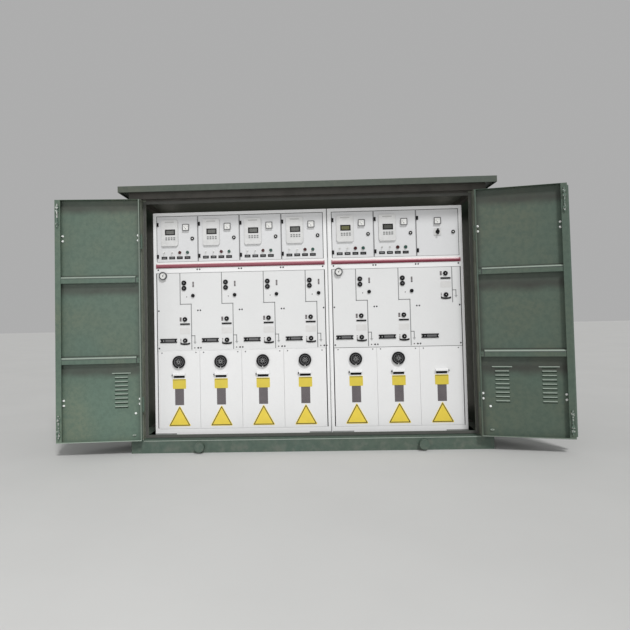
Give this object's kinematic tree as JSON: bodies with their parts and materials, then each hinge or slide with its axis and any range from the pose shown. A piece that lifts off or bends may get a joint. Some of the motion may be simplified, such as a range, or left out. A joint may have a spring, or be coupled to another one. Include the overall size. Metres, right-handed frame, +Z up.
{
  "type": "cable distribution box",
  "caption": "Outdoor steel cable distribution kiosk with a shallow ridged roof, open folding front doors and a row of panelled switchgear, on a channel plinth.",
  "frame": {"origin": "middle of the plinth's underside, the centre of the anchor hole pattern", "axes": "+Z up, -Y towards the front doors, +X to the right as seen from the front"},
  "size_m": [3.8307, 1.4379, 2.07],
  "materials": {
    "green_paint": "semi-matt patina green powder coat, lightly dusty",
    "zinc": "zinc plated hinge steel",
    "rubber": "black rubber seal",
    "dark_steel": "dark grey painted steel",
    "white_paint": "fine textured off-white powder coat",
    "grey_paint": "fine textured pale grey powder coat",
    "black_plastic": "black moulded plastic",
    "pale_plastic": "pale grey moulded plastic",
    "red_plastic": "red push button",
    "green_plastic": "green push button",
    "red_trim": "dark red trim",
    "smoked_pane": "smoked viewing pane"
  },
  "bodies": {
    "root": {"cable_covers": "white_paint", "chamber_partitions": "grey_paint", "cover_hasps": "white_paint", "cover_plugs": "black_plastic", "door_fittings": "black_plastic", "door_handle": "dark_steel", "door_seal": "rubber", "floor_plates": "dark_steel", "fold_hinges": "green_paint", "foot_pads": "dark_steel", "frame_hinges": "green_paint", "front_stiles": "green_paint", "green_buttons": "green_plastic", "header": "green_paint", "inner_frame": "dark_steel", "instrument_doors": "grey_paint", "interlock_plates": "black_plastic", "leaf_hinges": "green_paint", "leaf_ribs": "green_paint", "left_housing": "grey_paint", "left_inner_leaf": "green_paint", "left_outer_leaf": "green_paint", "left_wall": "green_paint", "lifting_lugs": "green_paint", "louvres": "green_paint", "operating_panels": "white_paint", "operating_sockets": "black_plastic", "panel_meters": "pale_plastic", "plinth_cross_members": "green_paint", "plinth_end_rails": "green_paint", "plinth_long_rails": "green_paint", "pressure_gauges": "pale_plastic", "protection_relays": "pale_plastic", "rear_wall": "green_paint", "red_buttons": "red_plastic", "red_trims": "red_trim", "right_housing": "grey_paint", "right_inner_leaf": "green_paint", "right_outer_leaf": "green_paint", "right_wall": "green_paint", "roof": "green_paint", "shoot_bolts": "zinc", "sill": "green_paint", "switchgear_frames": "white_paint", "viewing_windows": "smoked_pane"}
  },
  "joints": []
}
